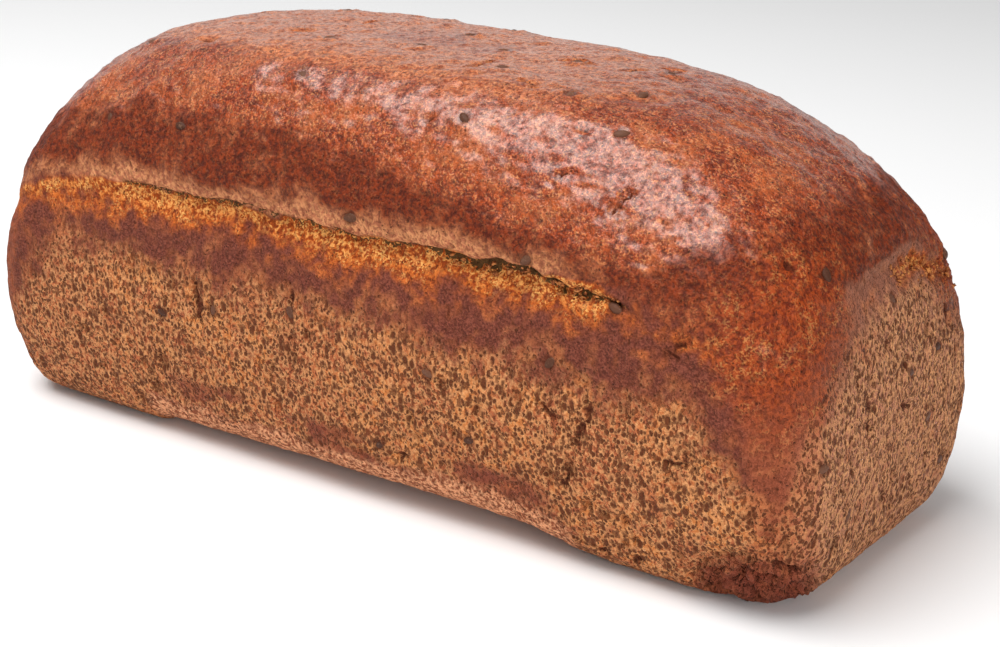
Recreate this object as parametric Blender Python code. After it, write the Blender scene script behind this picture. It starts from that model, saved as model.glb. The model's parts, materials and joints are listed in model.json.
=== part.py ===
"""Wholegrain bread: one whole tin loaf, uncut, lying as it was baked.

The crust is one closed form. It is worked out level by level: each level of the loaf is a
rounded outline, and the outline's half length, half width and corner change with the height,
from the narrow base over the swollen walls and the crease under the dome up to the crown.
Seeds lie pressed into the crust.

Metres, +Z up. The loaf's length runs along X, its better long side faces -Y, and the origin
is on the table under its middle.
"""
import math
import random

import bmesh
import bpy
import numpy as np
from mathutils import Matrix, Vector

# The walls, shaped by the tin
BASE_HALF_LENGTH = 0.1300
BASE_HALF_WIDTH = 0.0464
RIM_HALF_LENGTH = 0.1286
RIM_HALF_WIDTH = 0.0532
END_BELLY = 0.0058
SIDE_BELLY = 0.0060
BASE_CORNER = 0.0160
RIM_CORNER = 0.0185
BASE_ROUNDING = 0.0090
RIM_HEIGHT = 0.0734

# The dome, which rose above the tin
TOP_HEIGHT = 0.1162
CROWN_FALL = 0.0014
DOME_LEAN = -0.0040
DOME_LEFT_FALL = 0.0101
DOME_LEFT_CORNER_GAIN = 0.4
DOME_RISE_POWER = 1.25
DOME_END_POWER = 5.6
DOME_SIDE_POWER = 6.0
OUTLINE_POWER_LOW = 2.8
OUTLINE_POWER_TOP = 3.15
OUTLINE_CHANGE = 0.9

# The crease between them: its line, and how the dome hangs over it and the wall sinks under it
CREASE_ARCH = 0.0060
CREASE_CORNER_FALL = 0.0106
CREASE_LEFT_FALL = 0.0160
CREASE_FADE_START = 0.0430
CREASE_FADE_LENGTH = 0.0580
CREASE_LEFT_FADE = 0.7
CREASE_END_SHARE = 0.4
CREASE_END_HALF = 0.0100
CREASE_END_FADE = 0.0290
END_START = 0.0960
END_RUN = 0.0140
OVERHANG = 0.0040
OVERHANG_PEAK = 0.0106
SHOULDER_SINK = 0.0020
SHOULDER_DEPTH = 0.0086

# The lower edges, which came away from the tin's floor
FRONT_LIFT = 0.0042
FRONT_LIFT_START = -0.0760
FRONT_LIFT_END = 0.0820
FRONT_LIFT_RUNS = (0.006, 0.034)
FRONT_LIFT_FIRST_SHARE = 0.6
FRONT_LIFT_GROWTH = 0.1100
BACK_LIFT = 0.0032
BACK_LIFT_START = -0.0480
BACK_LIFT_END = 0.0880
BACK_LIFT_RUNS = (0.015, 0.010)
LIFT_INNER = 0.0220
LIFT_REACH = 0.0180

# The torn corner at the right end of the front edge
TEAR_PLACE = Vector((0.1210, -0.0440, 0.0040))
TEAR_RADIUS = 0.0200
TEAR_DEPTH = 0.0018

# Slow unevenness of the whole crust
LUMP_HEIGHT = 0.0005
LUMP_START = 0.0040
LUMP_RUN = 0.0120
LUMP_WAVES = ((0.061, 0.083, 0.047), (0.038, 0.052, 0.071), (0.097, 0.034, 0.059))

# Where the rays that find the crust start: a line inside the crumb
CORE_HALF_LENGTH = 0.0800
CORE_HEIGHT = 0.0520
RAY_LENGTH = 0.1200
RAY_HALVINGS = 26
BOX_TOP = 0.1100

# Rows of the faces: along, across, below the crease and above it
ROWS_ALONG = 50
ROWS_ACROSS = 18
ROWS_BELOW = 13
ROWS_ABOVE = 9
FLAT_LIMIT = 0.00003

# The seeds pressed into the crust
SEED_COUNT = 66
SEED_LENGTH = 0.0048
SEED_WIDTH = 0.0026
SEED_HEIGHT = 0.0017
SEED_SUNK = 0.25
SEED_SPACING = 0.0170
SEED_LOWEST = 0.0100
SEED_DRAW = 41

CRUST_COLOUR = (0.33, 0.105, 0.040, 1.0)
CRUST_ROUGHNESS = 0.45


def ease(amount):
    """Run smoothly from 0 to 1."""
    amount = np.clip(amount, 0.0, 1.0)
    return amount * amount * (3.0 - 2.0 * amount)


def rounded(first, second, radius):
    """Intersect two depths, with their edge rounded."""
    u = first + radius
    v = second + radius
    outside = np.hypot(np.maximum(u, 0.0), np.maximum(v, 0.0))
    return outside + np.minimum(np.maximum(u, v), 0.0) - radius


def end_shift(x, y, left_fall, left_corner_gain):
    """How far a line round the loaf leaves the rim height towards the two ends.

    On the right it arches over the end and dips at the corners, and on the left it falls.
    """
    along = np.clip(np.abs(x) / RIM_HALF_LENGTH, 0.0, 1.0)
    across = np.clip(np.abs(y) / RIM_HALF_WIDTH, 0.0, 1.0)
    arch = CREASE_ARCH * along ** 6 * (1.0 - across ** 2)
    right = arch - CREASE_CORNER_FALL * along ** 5 * across ** 2
    left = -left_fall * along ** 5 * (1.0 - left_corner_gain * across ** 2)
    return np.where(x > 0.0, right, left)


def dome_shift(x, y):
    """Where the dome starts to close, from the rim height."""
    return end_shift(x, y, DOME_LEFT_FALL, DOME_LEFT_CORNER_GAIN)


def crease_shift(x, y):
    """Where the crease runs, from the rim height."""
    return end_shift(x, y, CREASE_LEFT_FALL, 0.0)


def valley_share(x, y):
    """How sharply the crease is cut: fully along the sides, a little on the ends, not at corners."""
    towards_corner = ease((np.abs(x) - CREASE_FADE_START) / CREASE_FADE_LENGTH)
    from_middle = ease((np.abs(y) - CREASE_END_HALF) / CREASE_END_FADE)
    on_side = 1.0 - towards_corner * np.where(x > 0.0, 1.0, CREASE_LEFT_FADE)
    on_end = 1.0 - from_middle * np.where(x > 0.0, 1.0, 1.0 - CREASE_LEFT_FADE)
    end_share = ease((np.abs(x) - END_START) / END_RUN)
    return on_side * (1.0 - end_share) + CREASE_END_SHARE * on_end * end_share


def lift(x, y):
    """How high the base stands off the table along its front and back edges."""
    def stretch(start, end, runs):
        return ease((x - start) / runs[0]) * ease((end - x) / runs[1])

    growth = ease((x - FRONT_LIFT_START) / FRONT_LIFT_GROWTH)
    front = FRONT_LIFT * stretch(FRONT_LIFT_START, FRONT_LIFT_END, FRONT_LIFT_RUNS)
    front *= FRONT_LIFT_FIRST_SHARE + (1.0 - FRONT_LIFT_FIRST_SHARE) * growth
    back = BACK_LIFT * stretch(BACK_LIFT_START, BACK_LIFT_END, BACK_LIFT_RUNS)
    return (front * ease((-y - LIFT_INNER) / LIFT_REACH)
            + back * ease((y - LIFT_INNER) / LIFT_REACH))


def lumps(x, y, z):
    """Slow waves in the crust."""
    total = np.zeros_like(x)
    for number, (wave_x, wave_y, wave_z) in enumerate(LUMP_WAVES):
        total += np.sin(x / wave_x * math.tau + 2.1 * number) * np.sin(y / wave_y * math.tau + number)
        total += np.sin(z / wave_z * math.tau + 1.3 * number + x / wave_x * 3.0)
    return total * LUMP_HEIGHT / len(LUMP_WAVES)


def tear(x, y, z):
    """The bite that the torn corner takes."""
    away = np.sqrt((x - TEAR_PLACE.x) ** 2 + (y - TEAR_PLACE.y) ** 2 + (z - TEAR_PLACE.z) ** 2)
    crag = 0.6 + 0.4 * np.sin(x / 0.0031) * np.sin(y / 0.0027 + z / 0.0022)
    return TEAR_DEPTH * crag * (1.0 - ease(away / TEAR_RADIUS))


def form(points):
    """Negative inside the loaf, positive outside it."""
    x, y, z = points.T
    top = TOP_HEIGHT - CROWN_FALL * (x / RIM_HALF_LENGTH) ** 2
    follow = np.where(z < RIM_HEIGHT, ease(z / RIM_HEIGHT), ease((top - z) / (top - RIM_HEIGHT)))
    level = z - dome_shift(x, y) * follow
    below = np.clip(level / RIM_HEIGHT, 0.0, 1.0)
    above = np.clip((level - RIM_HEIGHT) / (top - RIM_HEIGHT), 0.0, 1.0)

    past_crease = z - RIM_HEIGHT - crease_shift(x, y) * follow
    over = np.maximum(past_crease, 0.0) / OVERHANG_PEAK
    sink = ease(1.0 + past_crease / SHOULDER_DEPTH) * np.exp(-over / 2.0)
    proud = valley_share(x, y) * (OVERHANG * over * np.exp(1.0 - over) - SHOULDER_SINK * sink)
    belly = 4.0 * below * (1.0 - below)
    closing = np.maximum(1.0 - above ** DOME_RISE_POWER, 0.0)
    half_length = BASE_HALF_LENGTH + (RIM_HALF_LENGTH - BASE_HALF_LENGTH) * below + END_BELLY * belly
    half_width = BASE_HALF_WIDTH + (RIM_HALF_WIDTH - BASE_HALF_WIDTH) * below + SIDE_BELLY * belly
    half_length = half_length * closing ** (1.0 / DOME_END_POWER) + proud
    half_width = half_width * closing ** (1.0 / DOME_SIDE_POWER) + proud
    corner = BASE_CORNER + (RIM_CORNER - BASE_CORNER) * below
    corner = np.where(above > 0.0, np.minimum(corner, half_width), corner)

    along = np.abs(x - DOME_LEAN * above)
    across = np.abs(y)
    past_length = along - (half_length - corner)
    past_width = across - (half_width - corner)
    walls = np.hypot(np.maximum(past_length, 0.0), np.maximum(past_width, 0.0))
    walls += np.minimum(np.maximum(past_length, past_width), 0.0) - corner

    power = OUTLINE_POWER_LOW + (OUTLINE_POWER_TOP - OUTLINE_POWER_LOW) * np.sqrt(above)
    safe_length = np.maximum(half_length, 1e-4)
    safe_width = np.maximum(half_width, 1e-4)
    ring = ((along / safe_length) ** power + (across / safe_width) ** power) ** (1.0 / power)
    oval = (ring - 1.0) * safe_width
    share = ease(above / OUTLINE_CHANGE)
    outline = np.where(above > 0.0, (1.0 - share) * walls + share * oval, walls)
    outline = np.where(level >= top, 0.01, outline)
    solid = rounded(outline, lift(x, y) - z, BASE_ROUNDING)
    return solid - lumps(x, y, z) * ease((z - LUMP_START) / LUMP_RUN) + tear(x, y, z)


def on_crust(points):
    """Send each point along its ray from the loaf's core to the crust."""
    start = np.zeros_like(points)
    start[:, 0] = np.clip(points[:, 0], -CORE_HALF_LENGTH, CORE_HALF_LENGTH)
    start[:, 2] = CORE_HEIGHT
    way = points - start
    way /= np.linalg.norm(way, axis=1, keepdims=True)
    near = np.zeros(len(points))
    far = np.full(len(points), RAY_LENGTH)
    for _ in range(RAY_HALVINGS):
        middle = (near + far) / 2.0
        inside = form(start + way * middle[:, None]) < 0.0
        near = np.where(inside, middle, near)
        far = np.where(inside, far, middle)
    crust = start + way * near[:, None]
    crust[np.abs(crust[:, 2]) < FLAT_LIMIT, 2] = 0.0
    return crust


def box_point(u, v, w):
    """Place a point of the unit cube near the crust, with one row of faces on the crease."""
    x = u * 2.0 * RIM_HALF_LENGTH
    y = v * 2.0 * RIM_HALF_WIDTH
    crease = RIM_HEIGHT + crease_shift(x, y)
    split = ROWS_BELOW / (ROWS_BELOW + ROWS_ABOVE)
    rise = w + 0.5
    low = crease * rise / split
    high = crease + (BOX_TOP - crease) * (rise - split) / (1.0 - split)
    return np.stack([x, y, np.where(rise < split, low, high)], axis=1)


def new_material(name, colour, roughness):
    material = bpy.data.materials.new(name)
    material.use_nodes = True
    shader = material.node_tree.nodes["Principled BSDF"]
    shader.inputs["Base Color"].default_value = colour
    shader.inputs["Roughness"].default_value = roughness
    return material


def new_object(name, mesh_data):
    thing = bpy.data.objects.new(name, mesh_data)
    bpy.context.scene.collection.objects.link(thing)
    return thing


def make_crust():
    """A cube cut into rows of faces, each corner of which is then moved out to the crust."""
    shape = bmesh.new()
    bmesh.ops.create_cube(shape, size=1.0)
    rows = (ROWS_ALONG, ROWS_ACROSS, ROWS_BELOW + ROWS_ABOVE)
    for axis, count in enumerate(rows):
        edges = [edge for edge in shape.edges
                 if abs(edge.verts[0].co[axis] - edge.verts[1].co[axis]) > 0.5]
        bmesh.ops.subdivide_edges(shape, edges=edges, cuts=count - 1, use_grid_fill=True)
    places = np.array([corner.co for corner in shape.verts])
    crust = on_crust(box_point(*places.T))
    for corner, place in zip(shape.verts, crust):
        corner.co = place
    bmesh.ops.triangulate(shape, faces=shape.faces)
    bmesh.ops.recalc_face_normals(shape, faces=shape.faces)
    mesh_data = bpy.data.meshes.new("loaf")
    shape.to_mesh(mesh_data)
    shape.free()
    mesh_data.shade_smooth()
    return new_object("loaf", mesh_data)


def crust_normal(place):
    """The way the crust faces at a place on it."""
    step = 0.0004
    probes = np.array([place + sign * step * axis for axis in np.eye(3) for sign in (1.0, -1.0)])
    values = form(probes)
    slope = Vector(values[0::2] - values[1::2])
    return slope.normalized()


def seed_frames():
    """Seeded places for the seeds, each well away from the others, as matrices on the crust."""
    draw = random.Random(SEED_DRAW)
    frames = []
    while len(frames) < SEED_COUNT:
        aim = Vector((draw.uniform(-1, 1), draw.uniform(-1, 1), draw.uniform(-1, 1)))
        flat = max(range(3), key=lambda axis: abs(aim[axis]))
        aim[flat] = math.copysign(1.0, aim[flat])
        turn = draw.uniform(0.0, math.tau)
        cube = np.array([[aim.x / 2.0, aim.y / 2.0, aim.z / 2.0]])
        place = on_crust(box_point(*cube.T))[0]
        if place[2] < SEED_LOWEST:
            continue
        centre = Vector(place)
        if any((centre - frame.translation).length < SEED_SPACING for frame in frames):
            continue
        normal = crust_normal(place)
        upright = normal.to_track_quat("Z", "Y").to_matrix().to_4x4()
        sunk = centre - normal * SEED_HEIGHT * SEED_SUNK
        frames.append(Matrix.Translation(sunk) @ upright @ Matrix.Rotation(turn, 4, "Z"))
    return frames


def make_seed(frame, store):
    """One flat seed of 36 triangles, lying on the crust."""
    size = Matrix.Diagonal((SEED_LENGTH, SEED_WIDTH, SEED_HEIGHT, 1.0))
    shape = bmesh.new()
    bmesh.ops.create_uvsphere(shape, u_segments=6, v_segments=4, radius=0.5, matrix=frame @ size)
    bmesh.ops.triangulate(shape, faces=shape.faces)
    mesh_data = bpy.data.meshes.new("seed")
    shape.to_mesh(mesh_data)
    shape.free()
    store.objects.link(bpy.data.objects.new("seed", mesh_data))


def fuse_seeds(loaf):
    """Join the seeds to the crust in one union, then remove the loose ones."""
    store = bpy.data.collections.new("seeds")
    bpy.context.scene.collection.children.link(store)
    for frame in seed_frames():
        make_seed(frame, store)
    union = loaf.modifiers.new("seeds", "BOOLEAN")
    union.operation = "UNION"
    union.operand_type = "COLLECTION"
    union.collection = store
    union.solver = "EXACT"
    view = bpy.context.evaluated_depsgraph_get()
    fused = bpy.data.meshes.new_from_object(loaf.evaluated_get(view), depsgraph=view)
    loaf.modifiers.clear()
    loaf.data = fused
    loaf.data.name = "loaf"
    for seed in list(store.objects):
        bpy.data.objects.remove(seed)
    bpy.data.collections.remove(store)


def clear_scene():
    for thing in list(bpy.data.objects):
        bpy.data.objects.remove(thing)


clear_scene()
loaf = make_crust()
fuse_seeds(loaf)
loaf.data.materials.clear()
loaf.data.materials.append(new_material("crust", CRUST_COLOUR, CRUST_ROUGHNESS))
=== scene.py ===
"""The looks of a whole tin loaf of wholegrain bread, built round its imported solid.

The loaf is one closed mesh. The form is worked out level by level, as in the solid, and the
crust's relief then moves each point out or in along the way the crust faces there. Each
point also carries how much it has of each finish: glossy dome, pale undercut, amber band,
smooth and porous tin wall. The crust's material reads those masks and adds what is finer.
Seeds lie in the crust where the solid has them, and loose crumbs lie along its crack.

Metres, +Z up, length along X, the better long side faces -Y.
"""
import json
import math
import random

import bmesh
import bpy
import numpy as np
from mathutils import Matrix, Vector, noise

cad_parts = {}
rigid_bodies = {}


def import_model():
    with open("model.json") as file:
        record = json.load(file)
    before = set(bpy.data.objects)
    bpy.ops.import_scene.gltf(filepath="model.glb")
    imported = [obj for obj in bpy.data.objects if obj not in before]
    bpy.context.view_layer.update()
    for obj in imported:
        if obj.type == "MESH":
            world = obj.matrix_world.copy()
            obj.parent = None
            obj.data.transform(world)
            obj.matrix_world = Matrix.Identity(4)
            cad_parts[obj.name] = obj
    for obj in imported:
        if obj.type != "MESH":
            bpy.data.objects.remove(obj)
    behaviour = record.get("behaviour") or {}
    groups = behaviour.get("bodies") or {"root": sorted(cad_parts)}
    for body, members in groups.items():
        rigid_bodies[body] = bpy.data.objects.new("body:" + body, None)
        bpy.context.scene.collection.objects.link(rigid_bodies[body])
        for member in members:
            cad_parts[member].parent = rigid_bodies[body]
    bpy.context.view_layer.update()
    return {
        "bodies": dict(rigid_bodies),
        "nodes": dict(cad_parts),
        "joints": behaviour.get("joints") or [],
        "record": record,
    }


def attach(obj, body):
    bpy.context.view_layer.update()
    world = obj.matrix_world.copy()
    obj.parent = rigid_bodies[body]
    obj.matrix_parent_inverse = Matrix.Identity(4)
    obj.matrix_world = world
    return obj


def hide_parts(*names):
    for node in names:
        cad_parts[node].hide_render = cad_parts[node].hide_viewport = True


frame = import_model()

# The walls, shaped by the tin
BASE_HALF_LENGTH = 0.1300
BASE_HALF_WIDTH = 0.0464
RIM_HALF_LENGTH = 0.1286
RIM_HALF_WIDTH = 0.0532
END_BELLY = 0.0058
SIDE_BELLY = 0.0060
BASE_CORNER = 0.0160
RIM_CORNER = 0.0185
BASE_ROUNDING = 0.0090
RIM_HEIGHT = 0.0734

# The dome, which rose above the tin
TOP_HEIGHT = 0.1162
CROWN_FALL = 0.0014
DOME_LEAN = -0.0040
DOME_LEFT_FALL = 0.0101
DOME_LEFT_CORNER_GAIN = 0.4
DOME_RISE_POWER = 1.25
DOME_END_POWER = 5.6
DOME_SIDE_POWER = 6.0
OUTLINE_POWER_LOW = 2.8
OUTLINE_POWER_TOP = 3.15
OUTLINE_CHANGE = 0.9

# The crease between them: its line, and how the dome hangs over it and the wall sinks under it
CREASE_ARCH = 0.0060
CREASE_CORNER_FALL = 0.0106
CREASE_LEFT_FALL = 0.0160
CREASE_FADE_START = 0.0430
CREASE_FADE_LENGTH = 0.0580
CREASE_LEFT_FADE = 0.7
CREASE_END_SHARE = 0.4
CREASE_END_HALF = 0.0100
CREASE_END_FADE = 0.0290
END_START = 0.0960
END_RUN = 0.0140
OVERHANG = 0.0040
OVERHANG_PEAK = 0.0106
SHOULDER_SINK = 0.0020
SHOULDER_DEPTH = 0.0086

# The lower edges, which came away from the tin's floor
FRONT_LIFT = 0.0042
FRONT_LIFT_START = -0.0760
FRONT_LIFT_END = 0.0820
FRONT_LIFT_RUNS = (0.006, 0.034)
FRONT_LIFT_FIRST_SHARE = 0.6
FRONT_LIFT_GROWTH = 0.1100
BACK_LIFT = 0.0032
BACK_LIFT_START = -0.0480
BACK_LIFT_END = 0.0880
BACK_LIFT_RUNS = (0.015, 0.010)
LIFT_INNER = 0.0220
LIFT_REACH = 0.0180

# The torn corner at the right end of the front edge
TEAR_PLACE = Vector((0.1210, -0.0440, 0.0040))
TEAR_RADIUS = 0.0200
TEAR_DEPTH = 0.0018

# Slow unevenness of the whole crust
LUMP_HEIGHT = 0.0005
LUMP_START = 0.0040
LUMP_RUN = 0.0120
LUMP_WAVES = ((0.061, 0.083, 0.047), (0.038, 0.052, 0.071), (0.097, 0.034, 0.059))

# Where the rays that find the crust start: a line inside the crumb
CORE_HALF_LENGTH = 0.0800
CORE_HEIGHT = 0.0520
RAY_LENGTH = 0.1200
RAY_HALVINGS = 26
BOX_TOP = 0.1100

# Rows of the crust's faces: along, across, below the crease and above it, and how crowded
# they are near the crease
ROWS_ALONG = 210
ROWS_ACROSS = 80
ROWS_BELOW = 70
ROWS_ABOVE = 42
ROW_CROWDING = 0.45
CREASE_SHARE = 13.0 / 22.0
FLAT_LIMIT = 0.00003
PROBE_STEP = 0.0004

# The crust's points carry lengths in millimetres
MILLIMETRES = 1000.0

# The seeds pressed into the crust
SEED_COUNT = 66
SEED_LENGTH = 0.0048
SEED_WIDTH = 0.0026
SEED_HEIGHT = 0.0017
SEED_SUNK = 0.25
SEED_SPACING = 0.0170
SEED_LOWEST = 0.0100
SEED_DRAW = 41
SEED_SIZES = (0.92, 1.04)
SEED_POINT = 0.45
SEED_ROUND = 12
SEED_ALONG = 7
SEED_RING = 0.0060
SEED_RIM = 0.0026
SEED_RIM_REACH = 0.0011
SEED_RIM_HEIGHT = 0.00045
SEED_CLEAR = (0.3, 0.4)

# The crack along the crease: its height, wander, thin half width and wide openings
CRACK_RISE = 0.0015
CRACK_WANDERS = ((0.017, 0.0016, 1), (0.0055, 0.0009, 2), (0.0022, 0.0005, 3))
CRACK_HALF = 0.00028
CRACK_UNEVEN = 0.6
CRACK_UNEVEN_SIZE = 0.0070
CRACK_UNEVEN_DRAW = 9
CRACK_START = -0.0800
CRACK_END = 0.0880
CRACK_FADE = 0.0080
CRACK_FACING = (0.45, 0.30)
CRACK_OPENINGS = ((0.0350, 0.0050, 0.0008), (0.0480, 0.0055, 0.0012), (0.0570, 0.0030, 0.0010),
                  (0.0660, 0.0026, 0.0009), (0.0735, 0.0022, 0.0009), (0.0830, 0.0018, 0.0008))
CRACK_LEAST = 0.00005
GROOVE_DEPTH = 0.0007
GROOVE_GAIN = 1.7
GROOVE_EDGE = 0.0006

# Where the finishes lie. A pair is where one starts to come in and the length that it takes
END_FACING = (0.62, 0.34)
CORNER_FACING = (0.10, 0.28)
# The paler top, where the dome faces up, is painted light
LIT_CROWN_FACING = (0.84, 0.15)
LIT_CROWN_RIGHT = (0.0200, 0.0600)
LIT_CROWN_RIGHT_LOSS = 0.8
BASE_FACING = (0.5, 0.4)
VALLEY_FULL = 0.5
AMBER_DEPTH = 0.0080
AMBER_FADE = 0.0045
AMBER_LEAST = 0.55
EDGE_FADE = 0.0020
DOME_FADE = 0.0110
# The dome's dark lower band and where it ends: partly a harder bake, partly painted shade
BAKED_SHADE_LEFT = 0.0235
BAKED_SHADE_RIGHT = 0.0070
BAKED_SHADE_RUN = 0.0950
BAKED_SHADE_CORNER = 0.0130
BAKED_SHADE_CORNER_ALONG = (0.0800, 0.0300)
BAKED_SHADE_FADE = 0.0130
# The pale strip under the dome's overhang: partly its own paler colour, partly painted bounce light
# from the floor
PALE_TOP = (0.0020, 0.0110)
PALE_RIGHT = (0.0550, 0.0250)
PALE_RIGHT_LOSS = 0.8
PALE_END_LOSS = 0.95
NOTCH_FALL = 0.0030
NOTCH_REACH = 0.0035
NOTCH_START = -0.0040
NOTCH_END = 0.0440
NOTCH_RUNS = (0.0100, 0.0080)
NOTCH_DEPTH = 0.0006
NOTCH_CRAG_DEPTH = 0.0016
NOTCH_CRAGS = (-0.4, 1.0)
SHOULDER_ALONG = (0.0980, 0.0240)
SHOULDER_ACROSS = (0.0100, 0.0300)
SHOULDER_LOW = (-0.0250, 0.0240)
SHOULDER_HIGH = (0.0060, 0.0200)
POROUS_TOP = 0.0560
POROUS_CORNER_FALL = 0.0240
POROUS_CORNER = (0.0980, 0.0340)
POROUS_END_TOP = 0.0770
POROUS_END_FALL = 0.0120
POROUS_FADE = (-0.0160, 0.0260)
POROUS_WANDER = 1.6
LIP_SHARE = 0.5
LIP_HIGH = (0.0105, 0.0050)
SCAR_HIGH = (0.0180, 0.0080)
SCAR_PATCH = (0.02, 0.30)
TORN_REACH = (0.0100, 0.0120)
LIP_PORES_LOST = 0.75
SCAR_PORES_LOST = 0.70
CORNER_PORES_LOST = 0.15

# Uneven lumps: their size, by axis where they are stretched, their height, draw and octaves
UNEVEN = {
    "wander": (0.0200, 0.0030, 11, 3),
    "fine wander": (0.0060, 0.0012, 12, 3),
    "amber depth": (0.0350, 0.5, 13, 3),
    "scar": (0.0240, 1.0, 14, 3),
    "swell": (0.0170, 0.00045, 21, 3),
    "ripple": (0.0065, 0.00034, 22, 3),
    "wrinkle": ((0.0085, 0.0048, 0.0048), 0.00050, 23, 3),
    "dimple": (0.0036, 0.00018, 33, 2),
    "fold": ((0.0060, 0.0060, 0.0028), 0.00080, 24, 3),
    "wall swell": (0.0110, 0.00030, 26, 3),
    "wall grain": ((0.0032, 0.0032, 0.0056), 0.00030, 27, 3),
    "tunnel": ((0.0060, 0.0060, 0.0240), 1.0, 29, 2),
    "tunnel patch": (0.0220, 1.0, 30, 3),
    "crumbly": (0.0024, 1.0, 31, 2),
    "crag": (0.0050, 0.0080, 32, 3),
    "split x": (0.0032, 0.0012, 41, 2),
    "split y": (0.0032, 0.0012, 42, 2),
    "split z": (0.0032, 0.0012, 43, 2),
}
DRAW_STEP = Vector((7.3, 3.1, 5.7))
CELL_DRAW_STEP = Vector((3.7, 9.1, 1.3))
CELL_LOT_SCALE = 5.3
LINE_DRAW_STEP = 4.3
LINE_LEVEL = 0.7
LINE_HALF = 0.15
LINE_STATIONS = 6.0

# Open cells of the crumb that are deep enough to be cut into the walls, and the amber's bubbles
PIT_SIZE = (0.0052, 0.0052, 0.0080)
PIT_DRAW = 28
PIT_CHOSEN = (0.50, 0.04)
PIT_REACH = 0.44
PIT_EDGE = 0.16
PIT_DEPTH = 0.0009
TUNNEL_HALF = 0.045
TUNNEL_PATCH = (0.10, 0.20)
TUNNEL_SHARE = 0.8
BUBBLE_SIZE = 0.0040
BUBBLE_DRAW = 25
BUBBLE_HEIGHT = 0.0006
BUBBLE_LEVEL = 0.5

# How high over the base the relief comes in
FOOT_HIGH = (0.0004, 0.0030)

# Splits and holes in the crust: the two ends of each and its half width
SPLITS = (
    ((0.0170, -0.0240, 0.1155), (0.0172, -0.0130, 0.1162), 0.0007),
    ((0.0302, 0.0000, 0.1161), (0.0401, 0.0030, 0.1160), 0.0008),
    ((0.0499, 0.0017, 0.1157), (0.0533, 0.0076, 0.1156), 0.0008),
    ((0.0551, 0.0122, 0.1154), (0.0605, 0.0149, 0.1149), 0.0009),
    ((0.0187, -0.0449, 0.1053), (0.0222, -0.0434, 0.1071), 0.0006),
    ((0.0349, -0.0234, 0.1157), (0.0418, -0.0273, 0.1150), 0.0006),
    ((0.0585, -0.0371, 0.1095), (0.0634, -0.0363, 0.1091), 0.0006),
    ((0.0602, -0.0473, 0.0976), (0.0632, -0.0447, 0.1008), 0.0006),
    ((0.0750, -0.0491, 0.0911), (0.0803, -0.0419, 0.0993), 0.0007),
    ((-0.0717, -0.0285, 0.1126), (-0.0650, -0.0300, 0.1132), 0.0008),
    ((-0.0476, -0.0164, 0.1158), (-0.0463, -0.0119, 0.1159), 0.0009),
    ((-0.0394, 0.0064, 0.1160), (-0.0376, 0.0124, 0.1160), 0.0009),
    ((0.0204, 0.0300, 0.1135), (0.0260, 0.0340, 0.1120), 0.0008),
    ((-0.0860, 0.0100, 0.1125), (-0.0800, 0.0120, 0.1130), 0.0008),
    ((0.1179, -0.0356, 0.0866), (0.1201, -0.0341, 0.0852), 0.0009),
    ((0.0983, -0.0546, 0.0653), (0.1008, -0.0549, 0.0635), 0.0005),
    ((0.0964, -0.0549, 0.0640), (0.1043, -0.0536, 0.0699), 0.0007),
    ((-0.0494, -0.0562, 0.0521), (-0.0458, -0.0561, 0.0396), 0.0010),
    ((0.0640, -0.0561, 0.0449), (0.0695, -0.0562, 0.0416), 0.0007),
    ((0.0754, -0.0560, 0.0357), (0.0788, -0.0561, 0.0480), 0.0010),
    ((0.0710, -0.0542, 0.0233), (0.0729, -0.0553, 0.0290), 0.0008),
    ((-0.0152, -0.0557, 0.0580), (-0.0136, -0.0560, 0.0517), 0.0007),
    ((0.0353, -0.0554, 0.0601), (0.0357, -0.0548, 0.0632), 0.0006),
    ((0.0973, -0.0559, 0.0383), (0.1095, -0.0561, 0.0391), 0.0006),
    ((0.0178, -0.0521, 0.0174), (0.0211, -0.0522, 0.0177), 0.0010),
    ((0.1164, -0.0481, 0.0071), (0.1244, -0.0454, 0.0066), 0.0016),
    ((0.1275, -0.0489, 0.0163), (0.1317, -0.0423, 0.0137), 0.0014),
    ((0.1283, -0.0442, 0.0098), (0.1300, -0.0388, 0.0066), 0.0017),
    ((0.1080, -0.0494, 0.0082), (0.1119, -0.0484, 0.0074), 0.0010),
    ((0.1204, -0.0513, 0.0143), (0.1229, -0.0498, 0.0129), 0.0008),
    ((0.0788, -0.0479, 0.0056), (0.0809, -0.0495, 0.0082), 0.0012),
    ((0.0888, -0.0476, 0.0052), (0.0907, -0.0496, 0.0084), 0.0011),
    ((0.1341, -0.0210, 0.0515), (0.1344, -0.0165, 0.0481), 0.0008),
    ((0.1347, 0.0000, 0.0450), (0.1348, 0.0048, 0.0419), 0.0009),
    ((0.1347, -0.0178, 0.0408), (0.1345, -0.0197, 0.0471), 0.0008),
    ((0.1321, 0.0285, 0.0639), (0.1336, 0.0302, 0.0557), 0.0009),
)
SPLIT_TAPER = 0.4
SPLIT_DEPTH = 0.0016
SPLIT_SHOWN = 0.0015
SPLIT_EDGE = (-0.0009, 0.0018)

# Loose crumbs caught in the crack's openings and in the end's notch
CRUMB_COUNT = 170
CRUMB_SIZES = (0.0008, 0.0021)
CRUMB_DRAW = 77
CRUMB_CRACK_SHARE = 0.70
CRUMB_SPREAD = 0.9
CRUMB_CRACK_FALL = 0.0016
CRUMB_NOTCH_SPREAD = 0.0018
CRUMB_NOTCH_MARGIN = 0.0040
CRUMB_SUNK = 0.45
CRUMB_UNEVEN = 0.9
CRUMB_UNEVEN_SCALE = 3.6
CRUMB_START = 9.0
CRUMB_WIDTHS = (0.3, 0.8)
CRUMB_HEIGHTS = (0.2, 0.5)

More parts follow.
